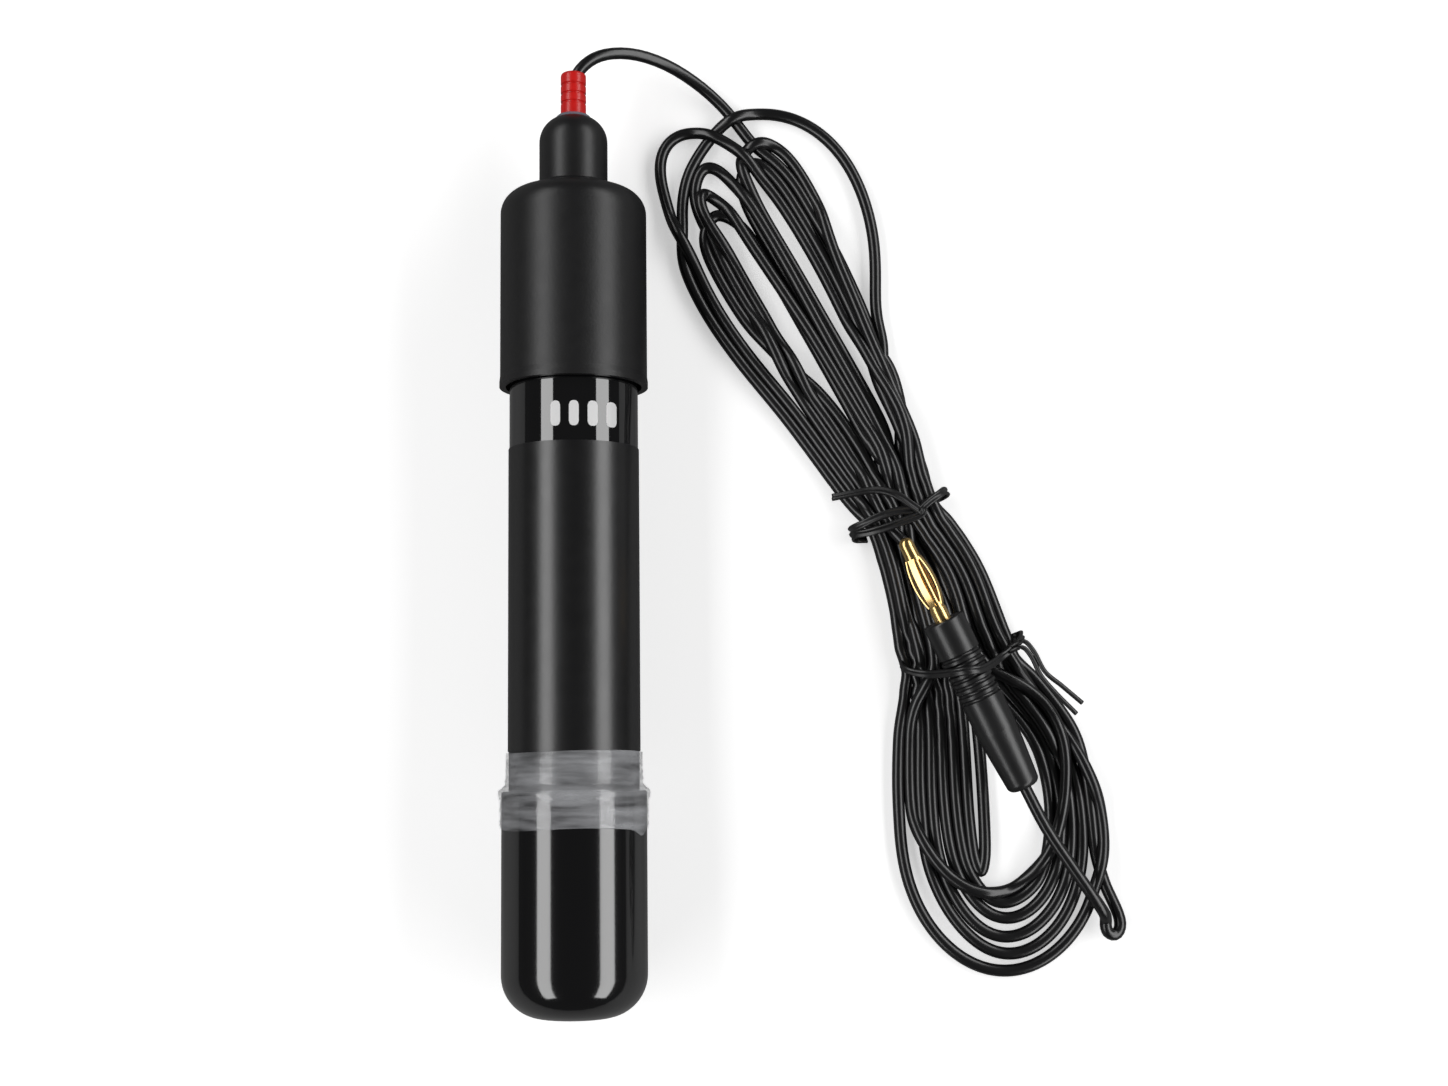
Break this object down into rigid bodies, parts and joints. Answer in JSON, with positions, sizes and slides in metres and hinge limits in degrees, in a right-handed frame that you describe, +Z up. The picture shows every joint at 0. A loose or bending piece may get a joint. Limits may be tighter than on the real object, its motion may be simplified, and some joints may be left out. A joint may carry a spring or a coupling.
{
  "type": "reference electrode",
  "caption": "Black tubular reference electrode with a capped sensing end, moulded head, red strain relief and a tied hank of thin lead ending in a sprung plug.",
  "frame": {"origin": "on the table under the middle of the electrode's length, centred on its axis", "axes": "+Y along the electrode from the protective cap to the lead, +Z up from the table it lies on, +X to the side where the lead's hank lies"},
  "size_m": [0.1261, 0.2012, 0.0305],
  "materials": {
    "tube_plastic": "matte black",
    "label_film": "gloss black film",
    "head_rubber": "satin black moulding",
    "red_rubber": "satin red",
    "clear_sealant": "translucent grey",
    "grey_plastic": "matte",
    "porous_ceramic": "matte porous",
    "seal_rubber": "matte",
    "element_glass": "clear",
    "silver": "drawn wire",
    "chloride": "matte grey-brown coating",
    "clear_gel": "clear gel",
    "lead_jacket": "gloss black jacket",
    "potting_resin": "cast resin",
    "plug_rubber": "satin black",
    "gold": "gold plated",
    "tie_plastic": "satin black",
    "cap_vinyl": "gloss black",
    "sponge": "damp open-cell foam",
    "clear_film": "clear stretch film"
  },
  "bodies": {
    "electrode": {"body_tube": "tube_plastic", "label_band": "label_film", "head_cap": "head_rubber", "strain_relief": "red_rubber", "seal_bead": "clear_sealant", "junction_holder": "grey_plastic", "porous_junction": "porous_ceramic", "junction_o_ring_lower": "seal_rubber", "junction_o_ring_upper": "seal_rubber", "tube_stopper": "seal_rubber", "element_tube": "element_glass", "element_frit": "porous_ceramic", "element_stopper": "seal_rubber", "silver_wire": "silver", "chloride_coating": "chloride", "element_gel": "clear_gel", "electrolyte_gel": "clear_gel", "solder_sleeve": "lead_jacket", "inner_lead": "lead_jacket", "potting_compound": "potting_resin", "lead_cord": "lead_jacket", "cord_hank": "lead_jacket", "cord_tail": "lead_jacket", "plug_handle": "plug_rubber", "plug_pin": "gold", "plug_springs": "gold", "tie_upper": "tie_plastic", "tie_lower": "tie_plastic"},
    "cap": {"protective_cap": "cap_vinyl", "wetting_sponge": "sponge", "sealing_film": "clear_film"}
  },
  "joints": [
    {"name": "cap_pull", "type": "slide", "parent": "electrode", "child": "cap", "axis": [0, -1, 0], "range_m": [0, 0.09]}
  ]
}
